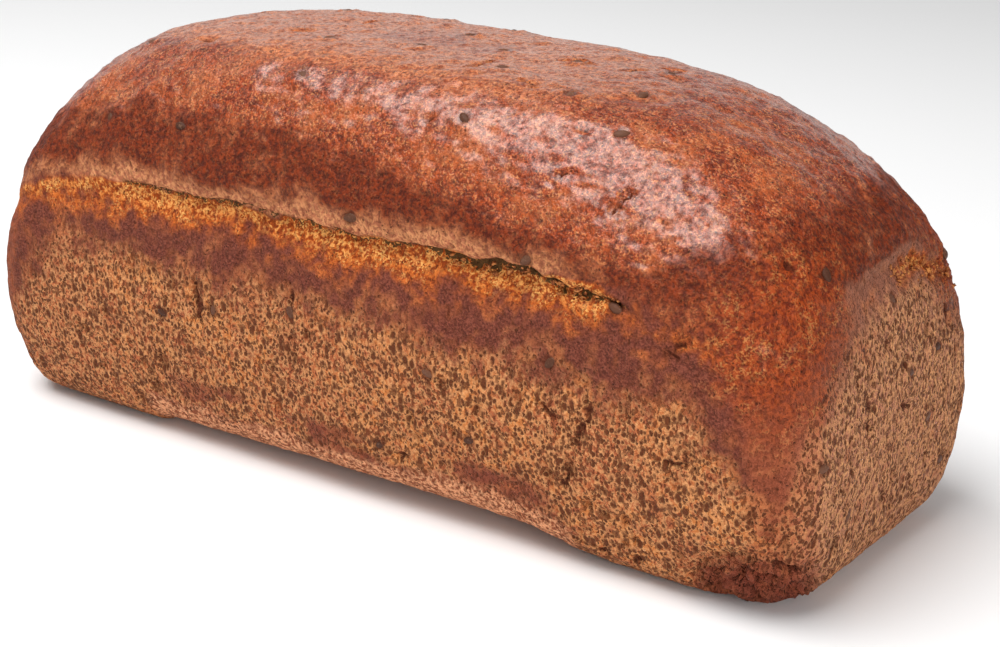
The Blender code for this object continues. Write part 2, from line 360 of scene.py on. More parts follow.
# Colours, as linear red, green and blue
DOME_DARK = (0.120, 0.012, 0.003)
DOME_WARM = (0.420, 0.064, 0.010)
DOME_LIGHT = (0.510, 0.115, 0.024)
DOME_FLECK = (0.620, 0.230, 0.075)
# The paler top where the dome faces up: painted light
LIT_CROWN_DARK = (0.260, 0.045, 0.011)
LIT_CROWN_LIGHT = (0.600, 0.170, 0.052)
# The dome's dark lower band: partly a harder bake, partly painted shade
BAKED_SHADE_DARK = (0.060, 0.004, 0.001)
BAKED_SHADE_WARM = (0.180, 0.020, 0.002)
# Dark in the splits and round the seeds: partly the torn crust's own colour, partly painted shade
TEAR_SHADE_RED = (0.080, 0.013, 0.005)
PLUM_DARK = (0.115, 0.024, 0.015)
PLUM_LIGHT = (0.205, 0.052, 0.031)
WALL_RED = (0.290, 0.076, 0.030)
WALL_TAN = (0.470, 0.130, 0.046)
WALL_GOLD = (0.550, 0.178, 0.048)
# Lighter crumb on the ridges and pore rims: partly its own colour, partly painted highlight
WALL_CRUMB_LIT = (0.730, 0.345, 0.140)
# Greyer ends: partly their own tone, partly painted sheen
WALL_GREY_SHEEN = (0.450, 0.195, 0.115)
AMBER_DARK = (0.270, 0.042, 0.006)
AMBER = (0.600, 0.125, 0.012)
AMBER_LIGHT = (0.860, 0.420, 0.120)
CORNER_RED = (0.380, 0.090, 0.034)
LIP_DARK = (0.260, 0.070, 0.030)
LIP_LIGHT = (0.780, 0.350, 0.175)
SCAR_PLUM = (0.230, 0.052, 0.028)
# The pale strip under the overhang: partly its own colour, partly painted bounce light
PALE_PINK = (0.500, 0.165, 0.080)
PALE_TAN = (0.760, 0.335, 0.145)
SHOULDER_DARK = (0.150, 0.014, 0.002)
SHOULDER_LIGHT = (0.330, 0.048, 0.006)
# Painted shade in the pores and pits
PORE_SHADE = (0.095, 0.018, 0.005)
# Painted shade in the crack
CRACK_SHADE = (0.070, 0.032, 0.009)
CRUMB_DARK = (0.200, 0.050, 0.014)
CRUMB_LIGHT = (0.560, 0.210, 0.060)
SEED_DARK = (0.060, 0.020, 0.010)
SEED_BROWN = (0.150, 0.062, 0.034)
# Grey flecks on the seeds: partly their own colour, partly painted sheen
SEED_GREY_SHEEN = (0.260, 0.150, 0.095)
FLOOR_WHITE = (0.90, 0.90, 0.90)
FLOOR_SHADE = (0.88, 0.88, 0.88)
DOME_ROUGHNESS = 0.27
BAKED_ROUGHNESS = 0.60
WALL_ROUGHNESS = 0.88
CRUST_SPECULAR = 0.30
COAT_ROUGHNESS = 0.28
COAT_IOR = 1.6
SHEEN_TINT = (1.0, 0.80, 0.62)
SEED_ROUGHNESS = 0.55
SEED_SPECULAR = 0.15
SEED_BUMP = 0.0001
SEED_BUMP_STRENGTH = 0.6
FLOOR_ROUGHNESS = 0.9
FLOOR_SPECULAR = 0.1

# The name of the node group that the crust, crumbs and seeds share
TWO_TONE = "two tone"

# Textures: their size, detail and roughness
CRUST_TEXTURES = {
    "grain": (0.0006, 1.0, 0.60),
    "speckle": (0.0013, 2.0, 0.65),
    "ripple": (0.0027, 2.0, 0.60),
    "mottle": (0.0045, 1.0, 0.60),
    "blotch": (0.0120, 2.0, 0.60),
    "cloud": (0.0400, 1.0, 0.50),
}
SPONGE = (0.0010, 1.0, 0.60)
SPONGE_STRETCH = (1.0, 1.0, 0.62)
CRUMB_GRAIN = (0.0012, 3.0, 0.55)
SEED_GRAIN = (0.0006, 2.0, 0.55)
FLOOR_CLOUD = (0.4, 3.0, 0.55)

# Colours laid over a first one: a texture, the values between which it brings the colour in,
# the colour's full share, and the colour
DOME_TONES = (
    ("speckle", 0.34, 0.64, 1.0, DOME_WARM),
    ("grain", 0.50, 0.38, 0.6, DOME_DARK),
    ("blotch", 0.42, 0.72, 0.5, DOME_LIGHT),
)
LIT_CROWN_TONES = (("speckle", 0.36, 0.60, 1.0, LIT_CROWN_LIGHT),)
BAKED_SHADE_TONES = (("speckle", 0.34, 0.64, 1.0, BAKED_SHADE_WARM),)
PLUM_TONES = (("grain", 0.38, 0.62, 1.0, PLUM_LIGHT), ("mottle", 0.42, 0.66, 0.5, WALL_RED))
TAN_TONES = (("speckle", 0.38, 0.58, 1.0, WALL_TAN),)
RED_TONES = (("blotch", 0.46, 0.64, 0.6, WALL_RED),)
# Lighter crumb where the sponge is high: partly painted highlight
SPONGE_LIT_TONES = (("sponge", 0.54, 0.66, 0.5, WALL_CRUMB_LIT),)
AMBER_TONES = (("speckle", 0.36, 0.62, 1.0, AMBER),)
LIP_TONES = (("speckle", 0.38, 0.58, 1.0, LIP_LIGHT),)
PALE_TONES = (("speckle", 0.38, 0.62, 1.0, PALE_TAN),)
SHOULDER_TONES = (("speckle", 0.38, 0.60, 1.0, SHOULDER_LIGHT),)
CRUMB_TONES = (("grain", 0.38, 0.62, 1.0, CRUMB_LIGHT),)
SEED_SHEEN_TONES = (("grain", 0.55, 0.80, 0.6, SEED_GREY_SHEEN),)

# Patches where several textures are high at once, and the values between which each comes in
FLECKS = (("grain", 0.50, 0.62), ("ripple", 0.44, 0.56))
GOLD = (("cloud", 0.38, 0.62), ("mottle", 0.38, 0.60))
STREAKS = (("grain", 0.47, 0.60), ("ripple", 0.42, 0.56), ("blotch", 0.40, 0.58))

# Borders of the finishes, broken up: the mask, how far its border is pushed about, the values
# between which it comes in, and its least and full share
BORDERS = {
    "porous": ("porous", 0.8, 0.05, 0.95, 0.0, 1.0),
    "corner": ("corner", 0.8, 0.05, 0.95, 0.0, 0.4),
    "lip": ("lip", 0.8, 0.05, 0.95, 0.0, 1.0),
    "scar": ("scar", 0.8, 0.05, 0.95, 0.0, 0.7),
    "amber": ("amber", 1.2, 0.20, 0.90, 0.0, 1.0),
    "dome": ("dome", 0.5, 0.05, 0.95, 0.0, 1.0),
    "pale": ("pale", 0.8, 0.00, 1.00, 0.0, 0.85),
    "shoulder": ("shoulder", 1.0, 0.00, 1.00, 0.0, 0.9),
    "lit_crown": ("lit_crown", 0.9, 0.00, 1.00, 0.0, 1.0),
    "lit_glaze": ("lit_glaze", 0.9, 0.00, 1.00, 0.0, 1.0),
    "pores": ("porous", 0.8, 0.00, 0.90, 0.4, 1.0),
    "dome shine": ("dome", 0.3, 0.05, 0.95, 0.0, 1.0),
    "shoulder shine": ("shoulder", 0.8, 0.05, 0.95, 0.0, 1.0),
}

# Shares of what is laid over the finishes. A pair is the two values between which it comes in,
# and two more numbers are its shares there
BAKED_SHADE_SHARE = (0.0, 1.0, 0.9, 0.0)
FLECK_SHARE = (0.1, 1.0, 0.12, 0.6)
# Shares of the ends' grey, partly painted sheen
GREY_SHEEN_ON_TAN = 0.70
GREY_SHEEN_ON_PLUM = 0.40
# Lighter pore rims: partly paler crumb, partly painted highlight
LIT_RIMS_SHARE = 0.55
# The amber's net of light streaks and its threads: partly its yellow bubbles, partly painted light,
# strongest where the band is fullest under the overhang
LIT_NET_SHARE = (0.25, 0.85)
LIT_THREADS_SHARE = (0.55, 1.0, 0.0, 0.75)
THREADS = (0.46, 0.62)
STREAKS_SHARE = 0.3
# Shares of the painted shade in the pores and the pits
PORE_SHADE_SHARE = 0.94
PIT_SHADE_SHARE = 0.6

# Where the painted shade lies in the crack and the splits, and round the seeds, in millimetres
CRACK_SWAY = 3.6
CRACK_JAG = 3.4
CRACK_EDGE = (-0.12, 0.06)
CRACK_WIDE = (0.02, 0.1)
CRACK_SHADE_SHARE = 0.95
SPLIT_JAG = 1.6
SPLIT_RIM = (-0.35, 0.20)
SPLIT_SHADE_SHARE = 0.9
SEED_SHADE = (1.4, 2.7, 0.7, 0.0)

# The pores that are too fine to be cut: cell size, stretch, share of cells without one, radius.
# The finest are where the sponge texture is low
SMALL_PORES = (0.0012, (1.0, 1.0, 0.74), 0.05, 0.50)
WIDE_PORES = (0.0020, (1.0, 1.0, 0.54), 0.34, 0.48)
FINE_PORES = (0.45, 0.38, 0.0, 0.8)
PORE_PUSH = 0.0014
PORE_LEAST = 0.45
PORE_CHOICE = 0.02
# Where each pore's painted shade comes in, deepest in its middle
PORE_SHADE_BOWL = (-0.06, 0.20)
# Where each pore's lighter rim lies, partly painted highlight
PORE_LIT_RIM = (-0.30, -0.06)

# The crust's shine and bump
SPECKLE_ROUGHNESS = -0.3
GLINT = (0.36, 0.58, 0.20, 0.85)
RIPPLE_BUMP = 1.4
SPECKLE_BUMP = 1.1
GRAIN_BUMP = 0.45
DOME_BUMP = 0.6
PORE_BUMP = -0.8
BUMP_DEPTH = 0.001

# The camera, the soft lights and the floor
CAMERA_TURN = 34.0985
CAMERA_RISE = 19.0645
CAMERA_ROLL = 1.7854
CAMERA_DISTANCE = 0.5718
CAMERA_TARGET = Vector((0.0055, 0.0127, 0.0338))
CAMERA_LENS = 71.35
LIT_POINT = Vector((0.0, 0.0, 0.06))
SOFTBOXES = (
    ("overhead", -30.0, 68.0, 1.2, (1.20, 0.85), 20.5),
    ("backdrop", 222.0, 14.0, 2.0, (3.6, 1.0), 4.6),
    ("fill", 58.0, 14.0, 1.3, (1.0, 0.6), 7.5),
)
WORLD_STRENGTH = 0.27
FLOOR_HALF = 4.0


def ease(amount):
    """Run smoothly from 0 to 1."""
    amount = np.clip(amount, 0.0, 1.0)
    return amount * amount * (3.0 - 2.0 * amount)


def rounded(first, second, radius):
    """Intersect two depths, with their edge rounded."""
    u = first + radius
    v = second + radius
    outside = np.hypot(np.maximum(u, 0.0), np.maximum(v, 0.0))
    return outside + np.minimum(np.maximum(u, v), 0.0) - radius


def end_shift(x, y, left_fall, left_corner_gain):
    """How far a line round the loaf leaves the rim height towards the two ends.

    On the right it arches over the end and dips at the corners, and on the left it falls.
    """
    along = np.clip(np.abs(x) / RIM_HALF_LENGTH, 0.0, 1.0)
    across = np.clip(np.abs(y) / RIM_HALF_WIDTH, 0.0, 1.0)
    arch = CREASE_ARCH * along ** 6 * (1.0 - across ** 2)
    right = arch - CREASE_CORNER_FALL * along ** 5 * across ** 2
    left = -left_fall * along ** 5 * (1.0 - left_corner_gain * across ** 2)
    return np.where(x > 0.0, right, left)


def dome_shift(x, y):
    """Where the dome starts to close, from the rim height."""
    return end_shift(x, y, DOME_LEFT_FALL, DOME_LEFT_CORNER_GAIN)


def crease_shift(x, y):
    """Where the crease runs, from the rim height."""
    return end_shift(x, y, CREASE_LEFT_FALL, 0.0)


def valley_share(x, y):
    """How sharply the crease is cut: fully along the sides, a little on the ends, not at corners."""
    towards_corner = ease((np.abs(x) - CREASE_FADE_START) / CREASE_FADE_LENGTH)
    from_middle = ease((np.abs(y) - CREASE_END_HALF) / CREASE_END_FADE)
    on_side = 1.0 - towards_corner * np.where(x > 0.0, 1.0, CREASE_LEFT_FADE)
    on_end = 1.0 - from_middle * np.where(x > 0.0, 1.0, 1.0 - CREASE_LEFT_FADE)
    end_share = ease((np.abs(x) - END_START) / END_RUN)
    return on_side * (1.0 - end_share) + CREASE_END_SHARE * on_end * end_share


def lift(x, y):
    """How high the base stands off the table along its front and back edges."""
    def stretch(start, end, runs):
        return ease((x - start) / runs[0]) * ease((end - x) / runs[1])

    growth = ease((x - FRONT_LIFT_START) / FRONT_LIFT_GROWTH)
    front = FRONT_LIFT * stretch(FRONT_LIFT_START, FRONT_LIFT_END, FRONT_LIFT_RUNS)
    front *= FRONT_LIFT_FIRST_SHARE + (1.0 - FRONT_LIFT_FIRST_SHARE) * growth
    back = BACK_LIFT * stretch(BACK_LIFT_START, BACK_LIFT_END, BACK_LIFT_RUNS)
    return (front * ease((-y - LIFT_INNER) / LIFT_REACH)
            + back * ease((y - LIFT_INNER) / LIFT_REACH))


def lumps(x, y, z):
    """Slow waves in the crust."""
    total = np.zeros_like(x)
    for number, (wave_x, wave_y, wave_z) in enumerate(LUMP_WAVES):
        total += np.sin(x / wave_x * math.tau + 2.1 * number) * np.sin(y / wave_y * math.tau + number)
        total += np.sin(z / wave_z * math.tau + 1.3 * number + x / wave_x * 3.0)
    return total * LUMP_HEIGHT / len(LUMP_WAVES)


def tear(x, y, z):
    """The bite that the torn corner takes."""
    away = np.sqrt((x - TEAR_PLACE.x) ** 2 + (y - TEAR_PLACE.y) ** 2 + (z - TEAR_PLACE.z) ** 2)
    crag = 0.6 + 0.4 * np.sin(x / 0.0031) * np.sin(y / 0.0027 + z / 0.0022)
    return TEAR_DEPTH * crag * (1.0 - ease(away / TEAR_RADIUS))


def form(points):
    """Negative inside the loaf, positive outside it."""
    x, y, z = points.T
    top = TOP_HEIGHT - CROWN_FALL * (x / RIM_HALF_LENGTH) ** 2
    follow = np.where(z < RIM_HEIGHT, ease(z / RIM_HEIGHT), ease((top - z) / (top - RIM_HEIGHT)))
    level = z - dome_shift(x, y) * follow
    below = np.clip(level / RIM_HEIGHT, 0.0, 1.0)
    above = np.clip((level - RIM_HEIGHT) / (top - RIM_HEIGHT), 0.0, 1.0)

    past_crease = z - RIM_HEIGHT - crease_shift(x, y) * follow
    over = np.maximum(past_crease, 0.0) / OVERHANG_PEAK
    sink = ease(1.0 + past_crease / SHOULDER_DEPTH) * np.exp(-over / 2.0)
    proud = valley_share(x, y) * (OVERHANG * over * np.exp(1.0 - over) - SHOULDER_SINK * sink)
    belly = 4.0 * below * (1.0 - below)
    closing = np.maximum(1.0 - above ** DOME_RISE_POWER, 0.0)
    half_length = BASE_HALF_LENGTH + (RIM_HALF_LENGTH - BASE_HALF_LENGTH) * below + END_BELLY * belly
    half_width = BASE_HALF_WIDTH + (RIM_HALF_WIDTH - BASE_HALF_WIDTH) * below + SIDE_BELLY * belly
    half_length = half_length * closing ** (1.0 / DOME_END_POWER) + proud
    half_width = half_width * closing ** (1.0 / DOME_SIDE_POWER) + proud
    corner = BASE_CORNER + (RIM_CORNER - BASE_CORNER) * below
    corner = np.where(above > 0.0, np.minimum(corner, half_width), corner)

    along = np.abs(x - DOME_LEAN * above)
    across = np.abs(y)
    past_length = along - (half_length - corner)
    past_width = across - (half_width - corner)
    walls = np.hypot(np.maximum(past_length, 0.0), np.maximum(past_width, 0.0))
    walls += np.minimum(np.maximum(past_length, past_width), 0.0) - corner

    power = OUTLINE_POWER_LOW + (OUTLINE_POWER_TOP - OUTLINE_POWER_LOW) * np.sqrt(above)
    safe_length = np.maximum(half_length, 1e-4)
    safe_width = np.maximum(half_width, 1e-4)
    ring = ((along / safe_length) ** power + (across / safe_width) ** power) ** (1.0 / power)
    oval = (ring - 1.0) * safe_width
    share = ease(above / OUTLINE_CHANGE)
    outline = np.where(above > 0.0, (1.0 - share) * walls + share * oval, walls)
    outline = np.where(level >= top, 0.01, outline)
    solid = rounded(outline, lift(x, y) - z, BASE_ROUNDING)
    return solid - lumps(x, y, z) * ease((z - LUMP_START) / LUMP_RUN) + tear(x, y, z)


def on_crust(points):
    """Send each point along its ray from the loaf's core to the crust."""
    start = np.zeros_like(points)
    start[:, 0] = np.clip(points[:, 0], -CORE_HALF_LENGTH, CORE_HALF_LENGTH)
    start[:, 2] = CORE_HEIGHT
    way = points - start
    way /= np.linalg.norm(way, axis=1, keepdims=True)
    near = np.zeros(len(points))
    far = np.full(len(points), RAY_LENGTH)
    for _ in range(RAY_HALVINGS):
        middle = (near + far) / 2.0
        inside = form(start + way * middle[:, None]) < 0.0
        near = np.where(inside, middle, near)
        far = np.where(inside, far, middle)
    crust = start + way * near[:, None]
    crust[np.abs(crust[:, 2]) < FLAT_LIMIT, 2] = 0.0
    return crust


def box_point(u, v, w):
    """Place a point of the unit cube near the crust, with one row of faces on the crease."""
    x = u * 2.0 * RIM_HALF_LENGTH
    y = v * 2.0 * RIM_HALF_WIDTH
    crease = RIM_HEIGHT + crease_shift(x, y)
    split = CREASE_SHARE
    rise = w + 0.5
    low = crease * rise / split
    high = crease + (BOX_TOP - crease) * (rise - split) / (1.0 - split)
    return np.stack([x, y, np.where(rise < split, low, high)], axis=1)


def crust_facing(places):
    """The way the crust faces at each place on it."""
    slope = np.zeros_like(places)
    for axis in range(3):
        step = np.zeros(3)
        step[axis] = PROBE_STEP
        slope[:, axis] = form(places + step) - form(places - step)
    return slope / np.linalg.norm(slope, axis=1, keepdims=True)


def seed_frames():
    """Seeded places for the seeds, each well away from the others, as matrices on the crust."""
    draw = random.Random(SEED_DRAW)
    frames = []
    while len(frames) < SEED_COUNT:
        aim = Vector((draw.uniform(-1, 1), draw.uniform(-1, 1), draw.uniform(-1, 1)))
        flat = max(range(3), key=lambda axis: abs(aim[axis]))
        aim[flat] = math.copysign(1.0, aim[flat])
        turn = draw.uniform(0.0, math.tau)
        cube = np.array([[aim.x / 2.0, aim.y / 2.0, aim.z / 2.0]])
        place = on_crust(box_point(*cube.T))[0]
        if place[2] < SEED_LOWEST:
            continue
        centre = Vector(place)
        if any((centre - frame.translation).length < SEED_SPACING for frame in frames):
            continue
        normal = Vector(crust_facing(place[None])[0])
        upright = normal.to_track_quat("Z", "Y").to_matrix().to_4x4()
        sunk = centre - normal * SEED_HEIGHT * SEED_SUNK
        frames.append(Matrix.Translation(sunk) @ upright @ Matrix.Rotation(turn, 4, "Z"))
    return frames


def eased(value, span):
    """Run smoothly from 0 to 1 along a span, which is given as its start and its length."""
    start, length = span
    return ease((value - start) / length)


def uneven(places, kind):
    """Uneven lumps of one kind, about as high above as below zero."""
    size, height, draw, octaves = UNEVEN[kind]
    start = DRAW_STEP * draw
    scaled = places / np.asarray(size)
    return height * np.array([noise.fractal(Vector(place) + start, 1.0, 2.0, octaves)
                              for place in scaled.tolist()])


def cells(places, size, draw):
    """How far each place is from its cell's middle, in cell sizes, and a draw for that cell."""
    start = CELL_DRAW_STEP * draw
    away = np.zeros(len(places))
    lot = np.zeros(len(places))
    for number, place in enumerate((places / np.asarray(size)).tolist()):
        distances, middles = noise.voronoi(Vector(place) + start)
        away[number] = distances[0]
        lot[number] = noise.cell(middles[0] * CELL_LOT_SCALE)
    return away, lot


def line_noise(x, size, draw):
    """Uneven wander along the loaf, from -1 to 1."""
    stations = np.arange(-LINE_HALF, LINE_HALF, size / LINE_STATIONS)
    values = [noise.noise(Vector((station / size, LINE_DRAW_STEP * draw, LINE_LEVEL)))
              for station in stations]
    return np.interp(x, stations, values)


def crack(places, facing):
    """Height above the crack's line and the crack's half width, at each place."""
    x, y, z = places.T
    run = np.where(y < 0.0, x, -x)
    line = CRACK_RISE + crease_shift(x, y)
    for size, reach, draw in CRACK_WANDERS:
        line = line + reach * line_noise(run, size, draw)
    wavering = line_noise(run, CRACK_UNEVEN_SIZE, CRACK_UNEVEN_DRAW)
    half = CRACK_HALF * (1.0 + CRACK_UNEVEN * wavering)
    for middle, reach, width in CRACK_OPENINGS:
        half = half + width * np.exp(-((run - middle) / reach) ** 2)
    shown = ease((run - CRACK_START) / CRACK_FADE) * ease((CRACK_END - run) / CRACK_FADE)
    shown = shown * eased(np.abs(facing[:, 1]), CRACK_FACING)
    return z - RIM_HEIGHT - line, half * shown


def split_room(places):
    """How far inside the nearest split each place is, in metres; below zero is outside it."""
    wander = [uneven(places, kind) for kind in ("split x", "split y", "split z")]
    moved = places + np.stack(wander, axis=1)
    room = np.full(len(places), -SPLIT_SHOWN)
    for start, end, half in SPLITS:
        start = np.array(start)
        way = np.array(end) - start
        along = np.clip((moved - start) @ way / (way @ way), 0.0, 1.0)
        away = np.linalg.norm(moved - start - along[:, None] * way, axis=1)
        taper = SPLIT_TAPER + (1.0 - SPLIT_TAPER) * np.sin(along * math.pi)
        room = np.maximum(room, half * taper - away)
    return room


def torn(places):
    """How much of the torn corner's roughness each place has, from 0 to 1."""
    away = np.linalg.norm(places - np.array(TEAR_PLACE), axis=1)
    return 1.0 - eased(away, TORN_REACH)


def finishes(places, facing):
    """How much of each finish the crust has at each place, from 0 to 1."""
    x, y, z = places.T
    wander = uneven(places, "wander") + uneven(places, "fine wander")
    gap = z - RIM_HEIGHT - crease_shift(x, y) + wander
    end = eased(np.abs(facing[:, 0]), END_FACING)
    corner = eased(np.abs(facing[:, 0] * facing[:, 1]), CORNER_FACING)
    # Painted light: the dome is paler where it faces up
    lit_crown = eased(facing[:, 2], LIT_CROWN_FACING) * (1.0 - LIT_CROWN_RIGHT_LOSS * eased(x, LIT_CROWN_RIGHT))
    valley = ease(valley_share(x, y) / VALLEY_FULL)
    soft = EDGE_FADE + DOME_FADE * (1.0 - valley)
    below = 1.0 - ease((gap - CRACK_RISE + 0.5 * (soft - EDGE_FADE)) / soft)

    amber_fall = AMBER_DEPTH * (1.0 + uneven(places, "amber depth")) + AMBER_FADE
    amber = below * np.clip((gap + amber_fall) / amber_fall, 0.0, 1.0)
    amber = amber * (1.0 - end) * (AMBER_LEAST + (1.0 - AMBER_LEAST) * valley)
    notch = end * np.exp(-((gap + NOTCH_FALL) / NOTCH_REACH) ** 2)
    notch *= ease((y - NOTCH_START) / NOTCH_RUNS[0]) * ease((NOTCH_END - y) / NOTCH_RUNS[1])
    shoulder = eased(x, SHOULDER_ALONG) * eased(np.abs(y), SHOULDER_ACROSS)
    shoulder = shoulder * eased(gap, SHOULDER_LOW) * (1.0 - eased(gap, SHOULDER_HIGH))
    # Paler under the overhang: partly its own colour, partly painted bounce light
    pale = (1.0 - below) * valley * (1.0 - eased(gap, PALE_TOP))
    pale = pale * (1.0 - PALE_END_LOSS * end) * (1.0 - PALE_RIGHT_LOSS * eased(x, PALE_RIGHT))
    # The dark lower band is partly a harder bake and partly painted shade; above it the dome shines
    baked_shade_top = BAKED_SHADE_LEFT + (BAKED_SHADE_RIGHT - BAKED_SHADE_LEFT) * np.clip(x / BAKED_SHADE_RUN, 0.0, 1.0)
    baked_shade_top = baked_shade_top + BAKED_SHADE_CORNER * eased(x, BAKED_SHADE_CORNER_ALONG)
    lit_glaze = ease((gap - baked_shade_top + BAKED_SHADE_FADE / 2.0) / BAKED_SHADE_FADE)

    side_top = POROUS_TOP - POROUS_CORNER_FALL * eased(np.abs(x), POROUS_CORNER)
    end_top = POROUS_END_TOP - POROUS_END_FALL * (np.abs(y) / RIM_HALF_WIDTH) ** 2
    porous_top = side_top + (end_top - side_top) * end
    porous = 1.0 - eased(z + POROUS_WANDER * wander - porous_top, POROUS_FADE)
    lip = ease(lift(x, y) / (LIP_SHARE * FRONT_LIFT)) * (1.0 - eased(z + wander, LIP_HIGH))
    scar = eased(uneven(places, "scar"), SCAR_PATCH) * (1.0 - eased(z, SCAR_HIGH))
    scar = scar * (1.0 - lip) * ease(lift(x, y) / FRONT_LIFT)
    scar = np.maximum(scar, torn(places))
    porous = porous * (1.0 - LIP_PORES_LOST * lip) * (1.0 - SCAR_PORES_LOST * scar)
    porous = porous * (1.0 - CORNER_PORES_LOST * corner)
    porous = porous * below * (1.0 - shoulder) * (1.0 - amber)
    return {
        "dome": 1.0 - below, "pale": pale, "amber": np.maximum(amber, notch),
        "notch": notch, "shoulder": shoulder, "porous": porous, "lip": lip, "scar": scar,
        "corner": corner * below, "end": end, "lit_glaze": lit_glaze, "lit_crown": lit_crown,
        "base": eased(-facing[:, 2], BASE_FACING),
    }


def pits(places, finish):
    """How deep in an open cell or a tunnel of the crumb each place is, from 0 to 1."""
    away, lot = cells(places, PIT_SIZE, PIT_DRAW)
    cell = eased(lot, PIT_CHOSEN) * ease((PIT_REACH * lot - away) / PIT_EDGE)
    tunnel = 1.0 - ease(np.abs(uneven(places, "tunnel")) / TUNNEL_HALF)
    tunnel = tunnel * eased(uneven(places, "tunnel patch"), TUNNEL_PATCH)
    pit = np.maximum(cell, TUNNEL_SHARE * tunnel) * finish["porous"] * (1.0 - finish["base"])
    return pit * (1.0 - eased(finish["seed_near"], SEED_CLEAR))


def relief(places, finish, crack_height, crack_half, room):
    """How far the crust stands out at each place, its pits left aside."""
    skin = uneven(places, "swell") + uneven(places, "ripple")
    skin = skin - np.abs(uneven(places, "wrinkle")) + uneven(places, "dimple")
    skin = finish["dome"] * skin - finish["shoulder"] * np.abs(uneven(places, "fold"))
    wall = uneven(places, "wall swell") + uneven(places, "wall grain")
    wall = (1.0 - finish["dome"]) * wall
    away, _ = cells(places, BUBBLE_SIZE, BUBBLE_DRAW)
    bubbles = finish["amber"] * BUBBLE_HEIGHT * (BUBBLE_LEVEL - away * away)

    crags = eased(uneven(places, "crumbly"), NOTCH_CRAGS)
    notch = finish["notch"] * (NOTCH_DEPTH + NOTCH_CRAG_DEPTH * crags)
    groove = np.exp(-(crack_height / (crack_half + GROOVE_EDGE)) ** 2)
    groove = groove * (GROOVE_DEPTH + GROOVE_GAIN * crack_half)
    groove = np.where(crack_half > CRACK_LEAST, groove, 0.0)
    split = SPLIT_DEPTH * eased(room, SPLIT_EDGE)
    corner = torn(places) * np.abs(uneven(places, "crag"))
    rim = finish["seed_near"] * SEED_RIM_HEIGHT
    return skin + wall + bubbles + rim - notch - groove - split - corner


def make_loaf(frames):
    """A cube cut into rows of faces, sent out to the crust and given its relief and masks."""
    shape = bmesh.new()
    bmesh.ops.create_cube(shape, size=1.0)
    rows = (ROWS_ALONG, ROWS_ACROSS, ROWS_BELOW + ROWS_ABOVE)
    for axis, count in enumerate(rows):
        edges = [edge for edge in shape.edges
                 if abs(edge.verts[0].co[axis] - edge.verts[1].co[axis]) > 0.5]
        bmesh.ops.subdivide_edges(shape, edges=edges, cuts=count - 1, use_grid_fill=True)
    u, v, w = np.array([corner.co for corner in shape.verts]).T
    places = on_crust(box_point(u, v, crowded_rows(w)))
    facing = crust_facing(places)
    finish = finishes(places, facing)
    seed_away = seed_distance(places, frames)
    finish["seed_near"] = np.exp(-((seed_away - SEED_RIM) / SEED_RIM_REACH) ** 2)
    crack_height, crack_half = crack(places, facing)
    room = split_room(places)
    finish["pit"] = pits(places, finish)
    height = relief(places, finish, crack_height, crack_half, room) - PIT_DEPTH * finish["pit"]
    height = height * eased(places[:, 2], FOOT_HIGH)
    finish["crack_height"] = crack_height * MILLIMETRES
    finish["crack_half"] = crack_half * MILLIMETRES
    finish["split"] = room * MILLIMETRES
    finish["seed_away"] = seed_away * MILLIMETRES
    places = places + facing * height[:, None]
    places[:, 2] = np.maximum(places[:, 2], 0.0)
    for corner, place in zip(shape.verts, places):
        corner.co = place
    bmesh.ops.recalc_face_normals(shape, faces=shape.faces)
    return finished("loaf_crust", shape, finish)


def crowded_rows(w):
    """Move the rows of faces up the loaf closer together near the crease."""
    split = ROWS_BELOW / (ROWS_BELOW + ROWS_ABOVE)
    rise = w + 0.5
    low = rise / split
    low = CREASE_SHARE * (low * (1.0 + ROW_CROWDING) - ROW_CROWDING * low ** 2)
    high = (rise - split) / (1.0 - split)
    high = high * (1.0 - ROW_CROWDING) + ROW_CROWDING * high ** 2
    high = CREASE_SHARE + (1.0 - CREASE_SHARE) * high
    return np.where(rise < split, low, high) - 0.5


def seed_distance(places, frames):
    """How far each place is from the nearest seed's middle."""
    nearest = np.full(len(places), SEED_RING)
    for frame_matrix in frames:
        away = np.linalg.norm(places - np.array(frame_matrix.translation), axis=1)
        nearest = np.minimum(nearest, away)
    return nearest


def finished(name, shape, masks):
    """Turn a bmesh into an object at the origin, with its masks as attributes of its points."""
    mesh_data = bpy.data.meshes.new(name)
    shape.to_mesh(mesh_data)
    shape.free()
    mesh_data.shade_smooth()
    for mask, values in masks.items():
        attribute = mesh_data.attributes.new(mask, "FLOAT", "POINT")
        attribute.data.foreach_set("value", np.asarray(values, dtype=np.float32))
    thing = bpy.data.objects.new(name, mesh_data)
    bpy.context.scene.collection.objects.link(thing)
    return thing


def make_seeds(frames):
    """Flax-like seeds, pointed at one end, each of its own size and shade."""
    draw = random.Random(SEED_DRAW + 1)
    shape = bmesh.new()
    shades = shape.verts.layers.float.new("shade")
    for frame_matrix in frames:
        size = draw.uniform(*SEED_SIZES)
        fresh = bmesh.ops.create_uvsphere(shape, u_segments=SEED_ROUND, v_segments=SEED_ALONG,
                                          radius=0.5)["verts"]
        for corner in fresh:
            corner.co.y *= 1.0 - SEED_POINT * max(corner.co.x, 0.0)
        scale = Matrix.Diagonal((SEED_LENGTH * size, SEED_WIDTH * size, SEED_HEIGHT, 1.0))
        bmesh.ops.transform(shape, matrix=frame_matrix @ scale, verts=fresh)
        shade = draw.random()
        for corner in fresh:
            corner[shades] = shade
    bmesh.ops.recalc_face_normals(shape, faces=shape.faces)
    return finished("seeds", shape, {})


